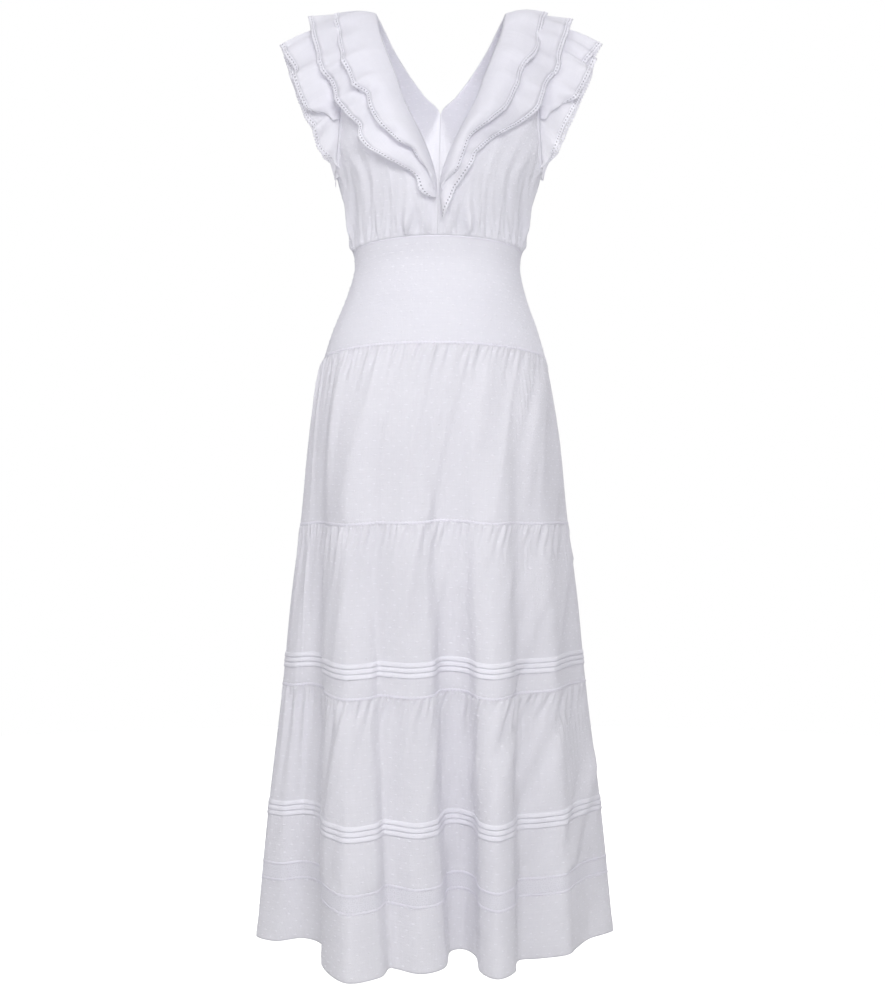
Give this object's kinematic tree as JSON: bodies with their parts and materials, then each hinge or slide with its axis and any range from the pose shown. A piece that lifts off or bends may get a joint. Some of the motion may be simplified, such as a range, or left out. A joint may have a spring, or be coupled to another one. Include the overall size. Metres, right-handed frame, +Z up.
{
  "type": "cotton midi dress",
  "caption": "Sleeveless tiered cotton midi dress in its worn form, V neck with two-tier ruffle and flutter cap sleeves, open at neck, armholes and hem.",
  "frame": {"origin": "between the shoulders at the height of the shoulder line, where the wearer holds the dress up", "axes": "+Z up along the dress, -Y to the front, +X to the wearer's left"},
  "size_m": [0.4995, 0.3993, 1.3069],
  "materials": {
    "bodice_cotton": "matt white dotted cotton, lined",
    "skirt_voile": "matt white dotted cotton voile, unlined",
    "picot_lace": "matt white cotton lace edging and insertion"
  },
  "bodies": {
    "root": {"bodice_front_left": "bodice_cotton", "bodice_back_left": "bodice_cotton", "ruffle_lower_left": "bodice_cotton", "ruffle_trim_lower_left": "picot_lace", "sleeve_lower_left": "bodice_cotton", "sleeve_trim_lower_left": "picot_lace", "ruffle_upper_left": "bodice_cotton", "ruffle_trim_upper_left": "picot_lace", "sleeve_upper_left": "bodice_cotton", "sleeve_trim_upper_left": "picot_lace", "bodice_front_right": "bodice_cotton", "bodice_back_right": "bodice_cotton", "ruffle_lower_right": "bodice_cotton", "ruffle_trim_lower_right": "picot_lace", "sleeve_lower_right": "bodice_cotton", "sleeve_trim_lower_right": "picot_lace", "ruffle_upper_right": "bodice_cotton", "ruffle_trim_upper_right": "picot_lace", "sleeve_upper_right": "bodice_cotton", "sleeve_trim_upper_right": "picot_lace", "midriff_front": "bodice_cotton", "tier1_front": "skirt_voile", "tier2_front": "skirt_voile", "tier3_front": "skirt_voile", "hem_front": "skirt_voile", "lace_front": "picot_lace", "midriff_back": "bodice_cotton", "tier1_back": "skirt_voile", "tier2_back": "skirt_voile", "tier3_back": "skirt_voile", "hem_back": "skirt_voile", "lace_back": "picot_lace"}
  },
  "joints": []
}
